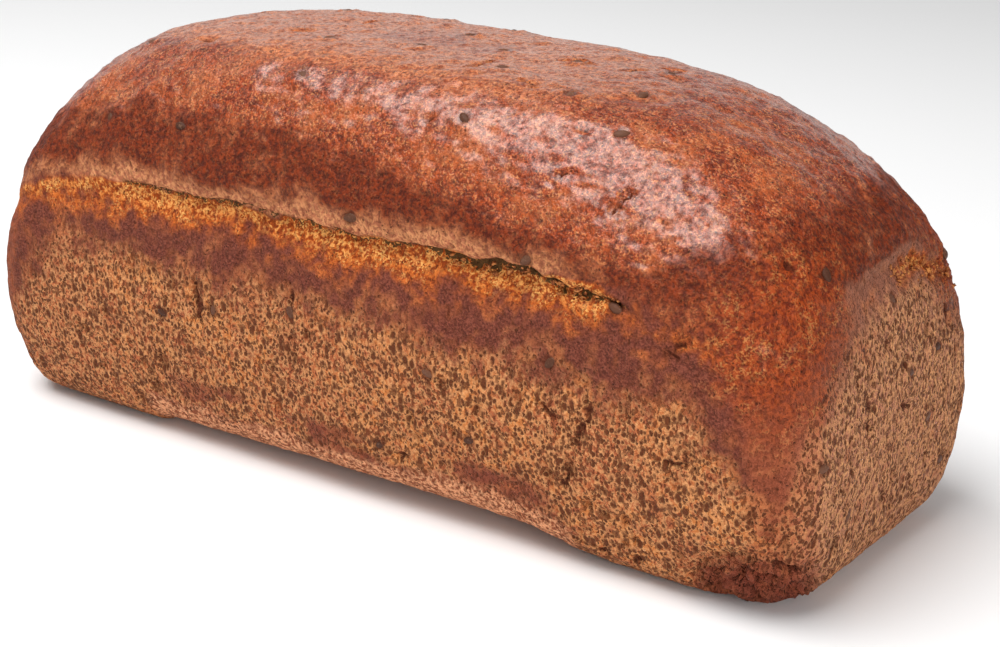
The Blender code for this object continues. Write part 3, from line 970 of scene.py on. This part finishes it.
def crumb_places(draw):
    """A seeded place and size for each crumb, most of them along the crack's openings."""
    found = []
    while len(found) < CRUMB_COUNT:
        if draw.random() < CRUMB_CRACK_SHARE:
            middle, reach, _ = draw.choice(CRACK_OPENINGS)
            x = draw.gauss(middle, reach * CRUMB_SPREAD)
            y = -RIM_HALF_WIDTH
            gap = CRACK_RISE + draw.gauss(-CRUMB_CRACK_FALL, CRUMB_CRACK_FALL)
        else:
            x = RIM_HALF_LENGTH
            y = draw.uniform(NOTCH_START + CRUMB_NOTCH_MARGIN, NOTCH_END - CRUMB_NOTCH_MARGIN)
            gap = draw.gauss(-NOTCH_FALL, CRUMB_NOTCH_SPREAD)
        size = draw.uniform(*CRUMB_SIZES)
        found.append((x, y, RIM_HEIGHT + crease_shift(x, y) + gap, size))
    return found


def make_crumbs():
    """Small lumps of loose crumb, each a ball pushed out of round, mostly sunk in the crust."""
    draw = random.Random(CRUMB_DRAW)
    shape = bmesh.new()
    for x, y, z, size in crumb_places(draw):
        place = on_crust(np.array([[x, y, z]]))
        centre = Vector(place[0]) - Vector(crust_facing(place)[0]) * size * CRUMB_SUNK
        fresh = bmesh.ops.create_icosphere(shape, subdivisions=2, radius=0.5)["verts"]
        start = Vector([draw.uniform(0.0, CRUMB_START) for _ in range(3)])
        for corner in fresh:
            corner.co *= 1.0 + CRUMB_UNEVEN * noise.noise(corner.co * CRUMB_UNEVEN_SCALE + start)
        turn = Matrix.Rotation(draw.uniform(0.0, math.tau), 4, "X")
        turn = turn @ Matrix.Rotation(draw.uniform(0.0, math.tau), 4, "Z")
        width = size * draw.uniform(*CRUMB_WIDTHS)
        height = size * draw.uniform(*CRUMB_HEIGHTS)
        lying = Matrix.Translation(centre) @ turn @ Matrix.Diagonal((size, width, height, 1.0))
        bmesh.ops.transform(shape, matrix=lying, verts=fresh)
    bmesh.ops.recalc_face_normals(shape, faces=shape.faces)
    return finished("crumbs", shape, {})


def add(tree, kind, inputs=None, **settings):
    """Place a node, with its settings, and its inputs as values or as links."""
    node = tree.nodes.new(kind)
    for name, value in settings.items():
        setattr(node, name, value)
    for key, value in (inputs or {}).items():
        if isinstance(value, bpy.types.NodeSocket):
            tree.links.new(value, node.inputs[key])
        else:
            node.inputs[key].default_value = value
    return node


def maths(tree, operation, first, second=0.0):
    """Work out a value from one or two others."""
    return add(tree, "ShaderNodeMath", {0: first, 1: second}, operation=operation).outputs[0]


def times(tree, first, second):
    return maths(tree, "MULTIPLY", first, second)


def centred(tree, value):
    """A texture's value, so that it lies about as much above as below zero."""
    return maths(tree, "SUBTRACT", value, 0.5)


def mix(tree, share, first, second):
    """Mix two colours, given as sockets or as linear red, green and blue."""
    inputs = {0: share, 6: socket_colour(first), 7: socket_colour(second)}
    return add(tree, "ShaderNodeMix", inputs, data_type="RGBA").outputs[2]


def socket_colour(value):
    """A colour as a node's input takes it."""
    return value if isinstance(value, bpy.types.NodeSocket) else (*value, 1.0)


def ramp(tree, value, start, end, low=0.0, high=1.0):
    """Run smoothly from low to high as a value goes from start to end."""
    inputs = {"Value": value, "From Min": start, "From Max": end, "To Min": low, "To Max": high}
    return add(tree, "ShaderNodeMapRange", inputs, interpolation_type="SMOOTHSTEP").outputs[0]


def mask(tree, name):
    return add(tree, "ShaderNodeAttribute", attribute_name=name).outputs["Fac"]


def object_place(tree):
    return add(tree, "ShaderNodeTexCoord").outputs["Object"]


def lumps_texture(tree, place, size, detail, roughness):
    inputs = {"Vector": place, "Scale": 1.0 / size, "Detail": detail, "Roughness": roughness}
    return add(tree, "ShaderNodeTexNoise", inputs).outputs["Fac"]


def stretched(tree, place, scale):
    return add(tree, "ShaderNodeMapping", {"Vector": place, "Scale": scale}).outputs[0]


def two_tone_group():
    """Lay one colour over another where a texture is high, for the crust, crumbs and seeds."""
    group = bpy.data.node_groups.new(TWO_TONE, "ShaderNodeTree")
    for name in ("Texture", "Start", "End", "Share"):
        group.interface.new_socket(name, in_out="INPUT", socket_type="NodeSocketFloat")
    for name in ("First", "Second"):
        group.interface.new_socket(name, in_out="INPUT", socket_type="NodeSocketColor")
    group.interface.new_socket("Colour", in_out="OUTPUT", socket_type="NodeSocketColor")
    given = group.nodes.new("NodeGroupInput").outputs
    share = ramp(group, given["Texture"], given["Start"], given["End"], 0.0, given["Share"])
    add(group, "NodeGroupOutput", {"Colour": mix(group, share, given["First"], given["Second"])})


def toned(tree, textures, colour, tones):
    """Lay tones over a colour in turn, each where its texture is high."""
    for texture, start, end, share, tone in tones:
        inputs = {"Texture": textures[texture], "Start": start, "End": end, "Share": share,
                  "First": socket_colour(colour), "Second": socket_colour(tone)}
        group = bpy.data.node_groups[TWO_TONE]
        colour = add(tree, "ShaderNodeGroup", inputs, node_tree=group).outputs["Colour"]
    return colour


def shared_patches(tree, textures, patches):
    """Where several textures are high at once."""
    share = 1.0
    for texture, start, end in patches:
        share = times(tree, share, ramp(tree, textures[texture], start, end))
    return share


def ragged(tree, textures, name):
    """A finish's mask, with its border broken up."""
    source, reach, *span = BORDERS[name]
    shift = times(tree, textures["fringe"], reach)
    return ramp(tree, maths(tree, "ADD", mask(tree, source), shift), *span)


def new_material(name):
    material = bpy.data.materials.new(name)
    material.use_nodes = True
    return material, material.node_tree, material.node_tree.nodes["Principled BSDF"]


def pushed(tree, place, push_x, push_y, push_z, reach):
    """Push a place about by three uneven values, so that round cells become irregular."""
    push = add(tree, "ShaderNodeCombineXYZ", {0: push_x, 1: push_y, 2: push_z}).outputs[0]
    inputs = {0: push, 1: (0.5, 0.5, 0.5)}
    push = add(tree, "ShaderNodeVectorMath", inputs, operation="SUBTRACT").outputs[0]
    inputs = {0: push, 1: (reach, reach, reach), 2: place}
    return add(tree, "ShaderNodeVectorMath", inputs, operation="MULTIPLY_ADD").outputs[0]


def pores(tree, place, amount, size, stretch, share, reach):
    """Holes in some of a texture's cells, smaller where the amount is low, and their rims. The holes
    are painted shade, deepest in their middles, and the rims partly painted highlight.
    """
    inputs = {"Vector": stretched(tree, place, stretch), "Scale": 1.0 / size}
    texture = add(tree, "ShaderNodeTexVoronoi", inputs)
    lot = add(tree, "ShaderNodeSeparateColor", {0: texture.outputs["Color"]}).outputs[0]
    radius = times(tree, ramp(tree, lot, share, 1.0, PORE_LEAST, 1.0), reach)
    radius = times(tree, radius, amount)
    chosen = ramp(tree, lot, share - PORE_CHOICE, share + PORE_CHOICE)
    hole = maths(tree, "SUBTRACT", radius, texture.outputs["Distance"])
    bowl = times(tree, ramp(tree, hole, *PORE_SHADE_BOWL), chosen)
    return bowl, times(tree, ramp(tree, hole, *PORE_LIT_RIM), chosen)


def all_pores(tree, textures, place):
    """The walls' holes, painted shade, and the holes' rims, partly painted highlight. The sponge
    between them joins the textures.
    """
    amount = ragged(tree, textures, "pores")
    speckle, ripple = textures["speckle"], textures["ripple"]
    place = pushed(tree, place, speckle, ripple, ripple, PORE_PUSH)
    textures["sponge"] = lumps_texture(tree, stretched(tree, place, SPONGE_STRETCH), *SPONGE)
    fine = times(tree, ramp(tree, textures["sponge"], *FINE_PORES), amount)
    small, small_rims = pores(tree, place, amount, *SMALL_PORES)
    wide, wide_rims = pores(tree, place, amount, *WIDE_PORES)
    holes = maths(tree, "MAXIMUM", maths(tree, "MAXIMUM", fine, small), wide)
    return holes, times(tree, maths(tree, "MAXIMUM", small_rims, wide_rims), amount)


def dome_colour(tree, textures, lit_glaze):
    """The glossy dome: paler where it faces up, which is painted light; darker on its lower band,
    partly a harder bake and partly painted shade; and its flecks of bran.
    """
    lit_crown = toned(tree, textures, LIT_CROWN_DARK, LIT_CROWN_TONES)
    baked = toned(tree, textures, BAKED_SHADE_DARK, BAKED_SHADE_TONES)
    flecks = shared_patches(tree, textures, FLECKS)
    dome = toned(tree, textures, DOME_DARK, DOME_TONES)
    # Painted light where the dome faces up
    dome = mix(tree, ragged(tree, textures, "lit_crown"), dome, lit_crown)
    # Painted shade, with a harder bake, on the dome's lower band
    dome = mix(tree, ramp(tree, lit_glaze, *BAKED_SHADE_SHARE), dome, baked)
    return mix(tree, times(tree, flecks, ramp(tree, lit_glaze, *FLECK_SHARE)), dome, DOME_FLECK)


def wall_colours(tree, textures, rims):
    """The smooth plum part of the wall, and its porous tan part. The ends are greyer, partly painted
    sheen, and the ridges and pore rims lighter, partly painted highlight.
    """
    end = mask(tree, "end")
    plum = toned(tree, textures, PLUM_DARK, PLUM_TONES)
    # The ends greyer: partly their own tone, partly painted sheen
    plum = mix(tree, times(tree, end, GREY_SHEEN_ON_PLUM), plum, WALL_GREY_SHEEN)
    tan = toned(tree, textures, WALL_RED, TAN_TONES)
    tan = mix(tree, shared_patches(tree, textures, GOLD), tan, WALL_GOLD)
    tan = toned(tree, textures, tan, RED_TONES)
    tan = mix(tree, times(tree, end, GREY_SHEEN_ON_TAN), tan, WALL_GREY_SHEEN)
    tan = mix(tree, times(tree, rims, LIT_RIMS_SHARE), tan, WALL_CRUMB_LIT)
    return plum, toned(tree, textures, tan, SPONGE_LIT_TONES)


def amber_colour(tree, textures, streaks):
    """The amber band under the crack, with its net of light streaks and threads, partly its yellow
    bubbles and partly painted light where the band is fullest under the overhang.
    """
    band = mask(tree, "amber")
    net = times(tree, streaks, ramp(tree, band, *LIT_NET_SHARE))
    threads = ramp(tree, textures["speckle"], *THREADS)
    threads = times(tree, ramp(tree, band, *LIT_THREADS_SHARE), threads)
    amber = toned(tree, textures, AMBER_DARK, AMBER_TONES)
    return mix(tree, maths(tree, "MAXIMUM", net, threads), amber, AMBER_LIGHT)


def openings(tree, textures):
    """How much of the crack and of the splits shows, as painted shade in their openings."""
    jag = centred(tree, textures["speckle"])
    sway = times(tree, centred(tree, textures["ripple"]), CRACK_SWAY)
    sway = maths(tree, "ADD", sway, times(tree, jag, CRACK_JAG))
    off_line = maths(tree, "ABSOLUTE", maths(tree, "ADD", mask(tree, "crack_height"), sway))
    half = mask(tree, "crack_half")
    room = maths(tree, "SUBTRACT", half, off_line)
    cleft = times(tree, ramp(tree, room, *CRACK_EDGE), ramp(tree, half, *CRACK_WIDE))
    split = maths(tree, "ADD", mask(tree, "split"), times(tree, jag, SPLIT_JAG))
    return cleft, ramp(tree, split, *SPLIT_RIM)


def add_shine(tree, shader, textures, lit_glaze, split):
    """The dome's and the shoulder's roughness and coat, both broken up by the crust's grain."""
    speckle = textures["speckle"]
    shine = [ragged(tree, textures, name) for name in ("dome shine", "shoulder shine")]
    shine = maths(tree, "MAXIMUM", *shine)
    shine = times(tree, shine, maths(tree, "SUBTRACT", 1.0, mask(tree, "pale")))
    shine = times(tree, shine, maths(tree, "SUBTRACT", 1.0, split))
    polish = ramp(tree, lit_glaze, 0.0, 1.0, BAKED_ROUGHNESS, DOME_ROUGHNESS)
    rough = add(tree, "ShaderNodeMix", {0: shine, 2: WALL_ROUGHNESS, 3: polish}).outputs[0]
    grainy = times(tree, centred(tree, speckle), SPECKLE_ROUGHNESS)
    tree.links.new(maths(tree, "ADD", rough, grainy), shader.inputs["Roughness"])
    glint = add(tree, "ShaderNodeMix", {0: 0.5, 2: textures["ripple"], 3: speckle}).outputs[0]
    gloss = times(tree, ramp(tree, glint, *GLINT), lit_glaze)
    tree.links.new(times(tree, gloss, shine), shader.inputs["Coat Weight"])
    shader.inputs["Specular IOR Level"].default_value = CRUST_SPECULAR
    shader.inputs["Specular Tint"].default_value = (*SHEEN_TINT, 1.0)
    shader.inputs["Coat Roughness"].default_value = COAT_ROUGHNESS
    shader.inputs["Coat IOR"].default_value = COAT_IOR


def add_bump(tree, shader, textures, holes):
    """The relief that is too fine for the mesh, flatter on the dome."""
    skin = times(tree, textures["ripple"], RIPPLE_BUMP)
    skin = maths(tree, "ADD", skin, times(tree, textures["speckle"], SPECKLE_BUMP))
    skin = maths(tree, "ADD", skin, times(tree, textures["grain"], GRAIN_BUMP))
    skin = times(tree, skin, ramp(tree, mask(tree, "dome"), 0.0, 1.0, 1.0, DOME_BUMP))
    height = maths(tree, "ADD", skin, times(tree, holes, PORE_BUMP))
    bump = add(tree, "ShaderNodeBump", {"Height": height, "Distance": BUMP_DEPTH, "Strength": 1.0})
    tree.links.new(bump.outputs[0], shader.inputs["Normal"])


def crust_material():
    """The baked crust: each finish laid over the last where its mask says."""
    material, tree, shader = new_material("crust")
    place = object_place(tree)
    textures = {name: lumps_texture(tree, place, *values) for name, values in CRUST_TEXTURES.items()}
    textures["fringe"] = maths(tree, "ADD", centred(tree, textures["mottle"]),
                               centred(tree, textures["blotch"]))
    holes, rims = all_pores(tree, textures, place)
    lit_glaze = ragged(tree, textures, "lit_glaze")
    streaks = shared_patches(tree, textures, STREAKS)
    plum, tan = wall_colours(tree, textures, rims)
    shoulder = toned(tree, textures, SHOULDER_DARK, SHOULDER_TONES)
    layers = {
        "porous": tan,
        "corner": CORNER_RED,
        "lip": toned(tree, textures, LIP_DARK, LIP_TONES),
        "scar": SCAR_PLUM,
        "amber": amber_colour(tree, textures, streaks),
        "dome": dome_colour(tree, textures, lit_glaze),
        "pale": toned(tree, textures, PALE_PINK, PALE_TONES),
        "shoulder": mix(tree, times(tree, streaks, STREAKS_SHARE), shoulder, AMBER_LIGHT),
    }
    colour = plum
    for name, layer in layers.items():
        colour = mix(tree, ragged(tree, textures, name), colour, layer)

    cleft, split = openings(tree, textures)
    for share, shade in (
        # Painted shade in the pores and the pits
        (times(tree, holes, PORE_SHADE_SHARE), PORE_SHADE),
        (times(tree, mask(tree, "pit"), PIT_SHADE_SHARE), PORE_SHADE),
        # Painted shade in the crack, the splits and round the seeds
        (times(tree, cleft, CRACK_SHADE_SHARE), CRACK_SHADE),
        (times(tree, split, SPLIT_SHADE_SHARE), TEAR_SHADE_RED),
        (ramp(tree, mask(tree, "seed_away"), *SEED_SHADE), TEAR_SHADE_RED),
    ):
        colour = mix(tree, share, colour, shade)
    tree.links.new(colour, shader.inputs["Base Color"])
    add_shine(tree, shader, textures, lit_glaze, split)
    add_bump(tree, shader, textures, holes)
    return material


def crumb_material():
    material, tree, shader = new_material("crumb")
    textures = {"grain": lumps_texture(tree, object_place(tree), *CRUMB_GRAIN)}
    colour = toned(tree, textures, CRUMB_DARK, CRUMB_TONES)
    tree.links.new(colour, shader.inputs["Base Color"])
    shader.inputs["Roughness"].default_value = WALL_ROUGHNESS
    shader.inputs["Specular IOR Level"].default_value = CRUST_SPECULAR
    return material


def seed_material():
    material, tree, shader = new_material("seed")
    textures = {"grain": lumps_texture(tree, object_place(tree), *SEED_GRAIN)}
    colour = mix(tree, mask(tree, "shade"), SEED_DARK, SEED_BROWN)
    # Grey flecks on the seeds, partly painted sheen
    colour = toned(tree, textures, colour, SEED_SHEEN_TONES)
    tree.links.new(colour, shader.inputs["Base Color"])
    shader.inputs["Roughness"].default_value = SEED_ROUGHNESS
    shader.inputs["Specular IOR Level"].default_value = SEED_SPECULAR
    inputs = {"Height": textures["grain"], "Distance": SEED_BUMP, "Strength": SEED_BUMP_STRENGTH}
    bump = add(tree, "ShaderNodeBump", inputs)
    tree.links.new(bump.outputs[0], shader.inputs["Normal"])
    return material


def floor_material():
    material, tree, shader = new_material("floor")
    cloud = lumps_texture(tree, object_place(tree), *FLOOR_CLOUD)
    colour = mix(tree, cloud, FLOOR_WHITE, FLOOR_SHADE)
    tree.links.new(colour, shader.inputs["Base Color"])
    shader.inputs["Roughness"].default_value = FLOOR_ROUGHNESS
    shader.inputs["Specular IOR Level"].default_value = FLOOR_SPECULAR
    return material


def towards(turn, rise):
    """The way to a place round the loaf: turn 0 is in front, 90 to the right, both in degrees."""
    turn = math.radians(turn)
    rise = math.radians(rise)
    return Vector((math.sin(turn) * math.cos(rise), -math.cos(turn) * math.cos(rise), math.sin(rise)))


def add_softbox(name, turn, rise, distance, size, power):
    data = bpy.data.lights.new(name, "AREA")
    data.shape = "RECTANGLE"
    data.size, data.size_y = size
    data.energy = power
    light = bpy.data.objects.new(name, data)
    way = towards(turn, rise)
    light.location = LIT_POINT + way * distance
    light.rotation_euler = way.to_track_quat("Z", "Y").to_euler()
    bpy.context.scene.collection.objects.link(light)


def add_camera():
    """The camera at the photograph's angle."""
    data = bpy.data.cameras.new("camera")
    data.sensor_width = 36.0
    data.lens = CAMERA_LENS
    data.clip_start = 0.01
    data.clip_end = 50.0
    camera = bpy.data.objects.new("camera", data)
    back = towards(CAMERA_TURN, CAMERA_RISE)
    upright = back.to_track_quat("Z", "Y").to_matrix()
    tilt = Matrix.Rotation(math.radians(CAMERA_ROLL), 3, "Z")
    place = Matrix.Translation(CAMERA_TARGET + back * CAMERA_DISTANCE)
    camera.matrix_world = place @ (upright @ tilt).to_4x4()
    bpy.context.scene.collection.objects.link(camera)
    bpy.context.scene.camera = camera


def add_world():
    world = bpy.data.worlds.new("studio")
    world.use_nodes = True
    background = world.node_tree.nodes["Background"]
    background.inputs["Color"].default_value = (1.0, 1.0, 1.0, 1.0)
    background.inputs["Strength"].default_value = WORLD_STRENGTH
    bpy.context.scene.world = world


def add_floor():
    shape = bmesh.new()
    bmesh.ops.create_grid(shape, x_segments=2, y_segments=2, size=FLOOR_HALF)
    floor = finished("floor", shape, {})
    floor.data.materials.append(floor_material())


two_tone_group()
frames = seed_frames()
loaf = make_loaf(frames)
loaf.data.materials.append(crust_material())
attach(loaf, "root")
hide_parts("loaf")
seeds = make_seeds(frames)
seeds.data.materials.append(seed_material())
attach(seeds, "root")
crumbs = make_crumbs()
crumbs.data.materials.append(crumb_material())
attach(crumbs, "root")

add_floor()
add_world()
for softbox in SOFTBOXES:
    add_softbox(*softbox)
add_camera()
bpy.context.scene.view_settings.view_transform = "Standard"
